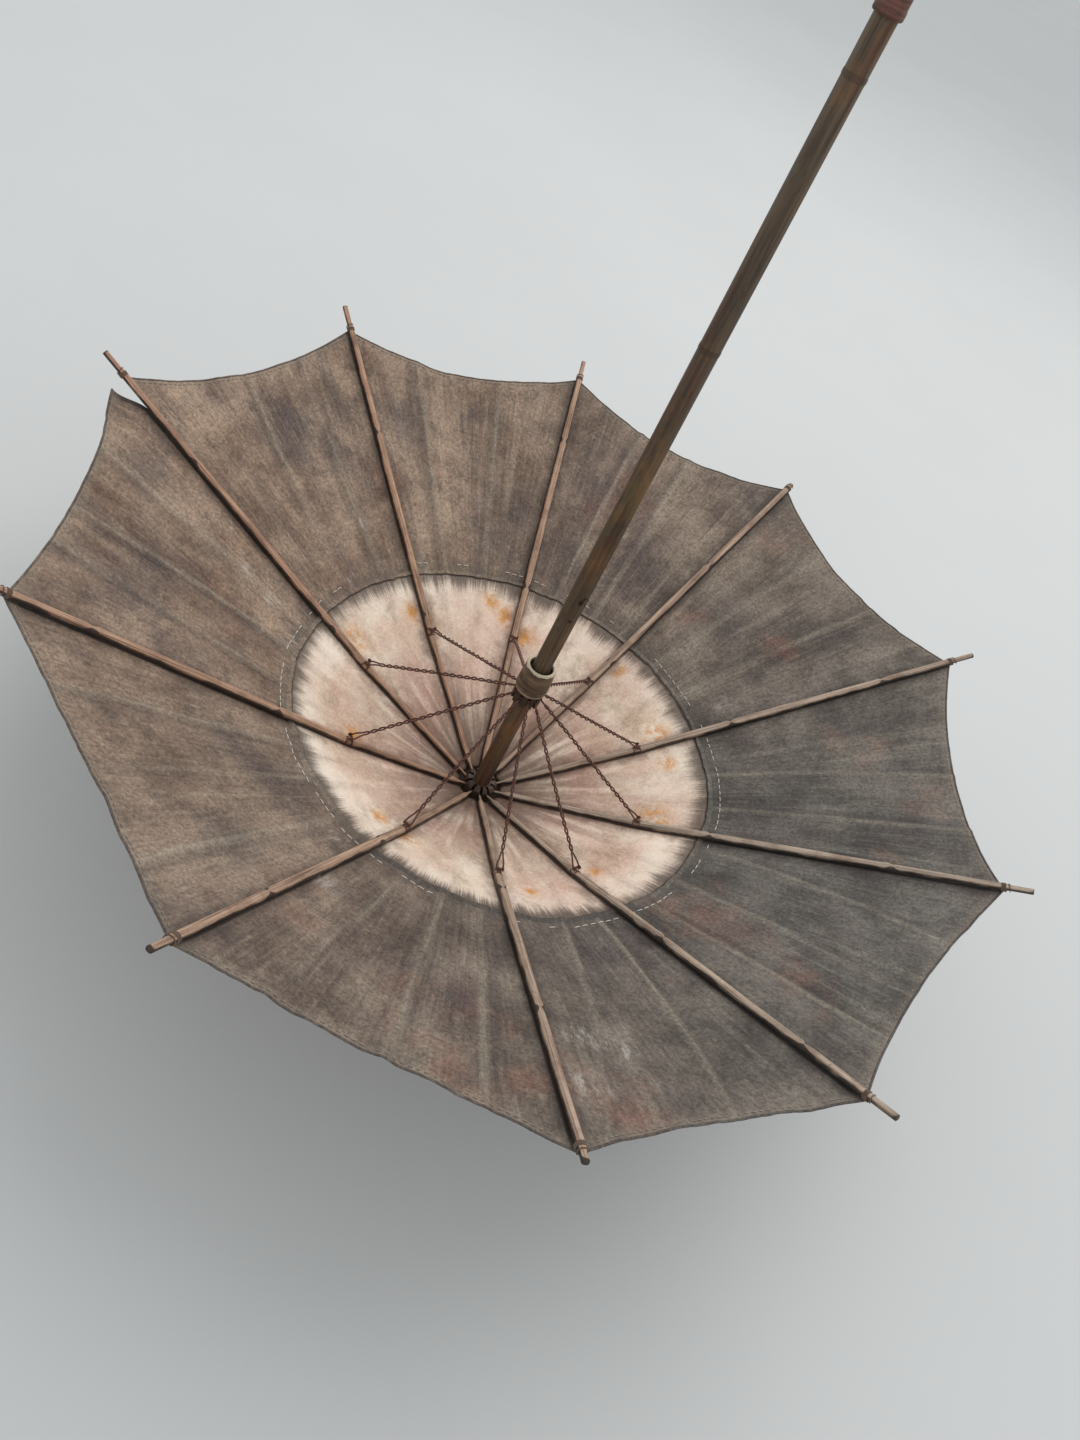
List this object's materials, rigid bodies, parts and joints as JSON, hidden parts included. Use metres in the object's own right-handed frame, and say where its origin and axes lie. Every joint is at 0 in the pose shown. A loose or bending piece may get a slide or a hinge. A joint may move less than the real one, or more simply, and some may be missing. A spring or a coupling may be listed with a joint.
{
  "type": "oil paper umbrella",
  "caption": "Old open umbrella with split bamboo ribs, twisted wire stretchers, a dark oiled cloth canopy and a pale crown patch, folding on a sliding runner.",
  "frame": {"origin": "centre of the flat end of the crown tip, where the open umbrella would touch the floor crown down", "axes": "+Z along the pole from the crown tip to the handle; +X along rib 1"},
  "size_m": [0.9592, 0.9217, 0.894],
  "materials": {
    "pole_bamboo": "satin",
    "handle_wood": "satin",
    "turned_wood": "matte",
    "iron_wire": "rusty",
    "washer_leather": "matte",
    "spring_steel": "dull",
    "rib_bamboo": "satin",
    "oiled_cloth": "matte",
    "patch_cloth": "matte"
  },
  "bodies": {
    "pole_body": {"pole": "pole_bamboo", "handle_grip": "handle_wood", "crown_hub": "turned_wood", "hub_ring_wire": "iron_wire", "crown_washer": "washer_leather", "crown_tip": "handle_wood", "catch_leaf": "spring_steel", "catch_pin": "iron_wire"},
    "rib_1_body": {"rib_1": "rib_bamboo"},
    "rib_2_body": {"rib_2": "rib_bamboo"},
    "rib_3_body": {"rib_3": "rib_bamboo"},
    "rib_4_body": {"rib_4": "rib_bamboo"},
    "rib_5_body": {"rib_5": "rib_bamboo"},
    "rib_6_body": {"rib_6": "rib_bamboo"},
    "rib_7_body": {"rib_7": "rib_bamboo"},
    "rib_8_body": {"rib_8": "rib_bamboo"},
    "rib_9_body": {"rib_9": "rib_bamboo"},
    "rib_10_body": {"rib_10": "rib_bamboo"},
    "stretcher_1_body": {"stretcher_1": "iron_wire"},
    "stretcher_2_body": {"stretcher_2": "iron_wire"},
    "stretcher_3_body": {"stretcher_3": "iron_wire"},
    "stretcher_4_body": {"stretcher_4": "iron_wire"},
    "stretcher_5_body": {"stretcher_5": "iron_wire"},
    "stretcher_6_body": {"stretcher_6": "iron_wire"},
    "stretcher_7_body": {"stretcher_7": "iron_wire"},
    "stretcher_8_body": {"stretcher_8": "iron_wire"},
    "stretcher_9_body": {"stretcher_9": "iron_wire"},
    "stretcher_10_body": {"stretcher_10": "iron_wire"},
    "runner_body": {"runner_collar": "turned_wood", "runner_ring_wire": "iron_wire"},
    "panel_1_body": {"canopy_panel_1": "oiled_cloth", "crown_patch_1": "patch_cloth"},
    "panel_2_body": {"canopy_panel_2": "oiled_cloth", "crown_patch_2": "patch_cloth"},
    "panel_3_body": {"canopy_panel_3": "oiled_cloth", "crown_patch_3": "patch_cloth"},
    "panel_4_body": {"canopy_panel_4": "oiled_cloth", "crown_patch_4": "patch_cloth"},
    "panel_5_body": {"canopy_panel_5": "oiled_cloth", "crown_patch_5": "patch_cloth"},
    "panel_6_body": {"canopy_panel_6": "oiled_cloth", "crown_patch_6": "patch_cloth"},
    "panel_7_body": {"canopy_panel_7": "oiled_cloth", "crown_patch_7": "patch_cloth"},
    "panel_8_body": {"canopy_panel_8": "oiled_cloth", "crown_patch_8": "patch_cloth"},
    "panel_9_body": {"canopy_panel_9": "oiled_cloth", "crown_patch_9": "patch_cloth"},
    "panel_10_body": {"canopy_panel_10": "oiled_cloth", "crown_patch_10": "patch_cloth"}
  },
  "joints": [
    {"name": "fold", "type": "hinge", "parent": "pole_body", "child": "rib_1_body", "pos_m": [0.013, 0, 0.045], "axis": [0, -1, 0], "range_deg": [0, 60]},
    {"name": "rib_2_fold", "type": "hinge", "parent": "pole_body", "child": "rib_2_body", "pos_m": [0.01052, -0.00764, 0.045], "axis": [-0.5878, -0.809, 0], "range_deg": [0, 60]},
    {"name": "rib_3_fold", "type": "hinge", "parent": "pole_body", "child": "rib_3_body", "pos_m": [0.00413, -0.01233, 0.045], "axis": [-0.9483, -0.3173, 0], "range_deg": [0, 60]},
    {"name": "rib_4_fold", "type": "hinge", "parent": "pole_body", "child": "rib_4_body", "pos_m": [-0.0038, -0.01243, 0.045], "axis": [-0.9563, 0.2924, 0], "range_deg": [0, 60]},
    {"name": "rib_5_fold", "type": "hinge", "parent": "pole_body", "child": "rib_5_body", "pos_m": [-0.01038, -0.00782, 0.045], "axis": [-0.6018, 0.7986, 0], "range_deg": [0, 60]},
    {"name": "rib_6_fold", "type": "hinge", "parent": "pole_body", "child": "rib_6_body", "pos_m": [-0.013, 0.00011, 0.045], "axis": [0.0087, 1, 0], "range_deg": [0, 60]},
    {"name": "rib_7_fold", "type": "hinge", "parent": "pole_body", "child": "rib_7_body", "pos_m": [-0.01017, 0.00809, 0.045], "axis": [0.6225, 0.7826, 0], "range_deg": [0, 60]},
    {"name": "rib_8_fold", "type": "hinge", "parent": "pole_body", "child": "rib_8_body", "pos_m": [-0.00497, 0.01201, 0.045], "axis": [0.9239, 0.3827, 0], "range_deg": [0, 60]},
    {"name": "rib_9_fold", "type": "hinge", "parent": "pole_body", "child": "rib_9_body", "pos_m": [0.0027, 0.01272, 0.045], "axis": [0.9781, -0.2079, 0], "range_deg": [0, 60]},
    {"name": "rib_10_fold", "type": "hinge", "parent": "pole_body", "child": "rib_10_body", "pos_m": [0.01017, 0.00809, 0.045], "axis": [0.6225, -0.7826, 0], "range_deg": [0, 60]},
    {"name": "stretcher_1_turn", "type": "hinge", "parent": "rib_1_body", "child": "stretcher_1_body", "pos_m": [0.1555, 0, 0.119], "axis": [0, -1, 0], "range_deg": [-120, 0]},
    {"name": "stretcher_2_turn", "type": "hinge", "parent": "rib_2_body", "child": "stretcher_2_body", "pos_m": [0.1258, -0.0914, 0.119], "axis": [-0.5878, -0.809, 0], "range_deg": [-120, 0]},
    {"name": "stretcher_3_turn", "type": "hinge", "parent": "rib_3_body", "child": "stretcher_3_body", "pos_m": [0.04934, -0.14746, 0.119], "axis": [-0.9483, -0.3173, 0], "range_deg": [-120, 0]},
    {"name": "stretcher_4_turn", "type": "hinge", "parent": "rib_4_body", "child": "stretcher_4_body", "pos_m": [-0.04546, -0.14871, 0.119], "axis": [-0.9563, 0.2924, 0], "range_deg": [-120, 0]},
    {"name": "stretcher_5_turn", "type": "hinge", "parent": "rib_5_body", "child": "stretcher_5_body", "pos_m": [-0.12419, -0.09358, 0.119], "axis": [-0.6018, 0.7986, 0], "range_deg": [-120, 0]},
    {"name": "stretcher_6_turn", "type": "hinge", "parent": "rib_6_body", "child": "stretcher_6_body", "pos_m": [-0.15549, 0.00136, 0.119], "axis": [0.0087, 1, 0], "range_deg": [-120, 0]},
    {"name": "stretcher_7_turn", "type": "hinge", "parent": "rib_7_body", "child": "stretcher_7_body", "pos_m": [-0.1217, 0.0968, 0.119], "axis": [0.6225, 0.7826, 0], "range_deg": [-120, 0]},
    {"name": "stretcher_8_turn", "type": "hinge", "parent": "rib_8_body", "child": "stretcher_8_body", "pos_m": [-0.05951, 0.14366, 0.119], "axis": [0.9239, 0.3827, 0], "range_deg": [-120, 0]},
    {"name": "stretcher_9_turn", "type": "hinge", "parent": "rib_9_body", "child": "stretcher_9_body", "pos_m": [0.03233, 0.1521, 0.119], "axis": [0.9781, -0.2079, 0], "range_deg": [-120, 0]},
    {"name": "stretcher_10_turn", "type": "hinge", "parent": "rib_10_body", "child": "stretcher_10_body", "pos_m": [0.1217, 0.0968, 0.119], "axis": [0.6225, -0.7826, 0], "range_deg": [-120, 0]},
    {"name": "runner_turn", "type": "hinge", "parent": "stretcher_1_body", "child": "runner_body", "pos_m": [0.013, 0, 0.193], "axis": [0, -1, 0], "range_deg": [0, 60]},
    {"name": "panel_1_fold", "type": "hinge", "parent": "pole_body", "child": "panel_1_body", "pos_m": [0.01236, -0.00402, 0.045], "axis": [-0.309, -0.9511, 0], "range_deg": [0, 60], "deforming": ["canopy_panel_1", "crown_patch_1"]},
    {"name": "panel_2_fold", "type": "hinge", "parent": "pole_body", "child": "panel_2_body", "pos_m": [0.00769, -0.01048, 0.045], "axis": [-0.8064, -0.5913, 0], "range_deg": [0, 60], "deforming": ["canopy_panel_2", "crown_patch_2"]},
    {"name": "panel_3_fold", "type": "hinge", "parent": "pole_body", "child": "panel_3_body", "pos_m": [0.00017, -0.013, 0.045], "axis": [-0.9999, -0.0131, 0], "range_deg": [0, 60], "deforming": ["canopy_panel_3", "crown_patch_3"]},
    {"name": "panel_4_fold", "type": "hinge", "parent": "pole_body", "child": "panel_4_body", "pos_m": [-0.00746, -0.01065, 0.045], "axis": [-0.8192, 0.5736, 0], "range_deg": [0, 60], "deforming": ["canopy_panel_4", "crown_patch_4"]},
    {"name": "panel_5_fold", "type": "hinge", "parent": "pole_body", "child": "panel_5_body", "pos_m": [-0.01235, -0.00407, 0.045], "axis": [-0.3132, 0.9497, 0], "range_deg": [0, 60], "deforming": ["canopy_panel_5", "crown_patch_5"]},
    {"name": "panel_6_fold", "type": "hinge", "parent": "pole_body", "child": "panel_6_body", "pos_m": [-0.01225, 0.00434, 0.045], "axis": [0.3338, 0.9426, 0], "range_deg": [0, 60], "deforming": ["canopy_panel_6", "crown_patch_6"]},
    {"name": "panel_7_fold", "type": "hinge", "parent": "pole_body", "child": "panel_7_body", "pos_m": [-0.00782, 0.01038, 0.045], "axis": [0.7986, 0.6018, 0], "range_deg": [0, 60], "deforming": ["canopy_panel_7", "crown_patch_7"]},
    {"name": "panel_8_fold", "type": "hinge", "parent": "pole_body", "child": "panel_8_body", "pos_m": [-0.00119, 0.01295, 0.045], "axis": [0.9958, 0.0915, 0], "range_deg": [0, 60], "deforming": ["canopy_panel_8", "crown_patch_8"]},
    {"name": "panel_9_fold", "type": "hinge", "parent": "pole_body", "child": "panel_9_body", "pos_m": [0.00684, 0.01105, 0.045], "axis": [0.8504, -0.5262, 0], "range_deg": [0, 60], "deforming": ["canopy_panel_9", "crown_patch_9"]},
    {"name": "panel_10_fold", "type": "hinge", "parent": "pole_body", "child": "panel_10_body", "pos_m": [0.01227, 0.00429, 0.045], "axis": [0.3297, -0.9441, 0], "range_deg": [0, 60], "deforming": ["canopy_panel_10", "crown_patch_10"]}
  ],
  "couplings": [
    {"joint": "rib_2_fold", "follows": "fold", "ratio": 1},
    {"joint": "rib_3_fold", "follows": "fold", "ratio": 1},
    {"joint": "rib_4_fold", "follows": "fold", "ratio": 1},
    {"joint": "rib_5_fold", "follows": "fold", "ratio": 1},
    {"joint": "rib_6_fold", "follows": "fold", "ratio": 1},
    {"joint": "rib_7_fold", "follows": "fold", "ratio": 1},
    {"joint": "rib_8_fold", "follows": "fold", "ratio": 1},
    {"joint": "rib_9_fold", "follows": "fold", "ratio": 1},
    {"joint": "rib_10_fold", "follows": "fold", "ratio": 1},
    {"joint": "stretcher_1_turn", "follows": "fold", "ratio": -2},
    {"joint": "stretcher_2_turn", "follows": "fold", "ratio": -2},
    {"joint": "stretcher_3_turn", "follows": "fold", "ratio": -2},
    {"joint": "stretcher_4_turn", "follows": "fold", "ratio": -2},
    {"joint": "stretcher_5_turn", "follows": "fold", "ratio": -2},
    {"joint": "stretcher_6_turn", "follows": "fold", "ratio": -2},
    {"joint": "stretcher_7_turn", "follows": "fold", "ratio": -2},
    {"joint": "stretcher_8_turn", "follows": "fold", "ratio": -2},
    {"joint": "stretcher_9_turn", "follows": "fold", "ratio": -2},
    {"joint": "stretcher_10_turn", "follows": "fold", "ratio": -2},
    {"joint": "runner_turn", "follows": "fold", "ratio": 1},
    {"joint": "panel_1_fold", "follows": "fold", "ratio": 0.96},
    {"joint": "panel_2_fold", "follows": "fold", "ratio": 0.96},
    {"joint": "panel_3_fold", "follows": "fold", "ratio": 0.96},
    {"joint": "panel_4_fold", "follows": "fold", "ratio": 0.96},
    {"joint": "panel_5_fold", "follows": "fold", "ratio": 0.96},
    {"joint": "panel_6_fold", "follows": "fold", "ratio": 0.96},
    {"joint": "panel_7_fold", "follows": "fold", "ratio": 0.96},
    {"joint": "panel_8_fold", "follows": "fold", "ratio": 0.96},
    {"joint": "panel_9_fold", "follows": "fold", "ratio": 0.96},
    {"joint": "panel_10_fold", "follows": "fold", "ratio": 0.96}
  ]
}
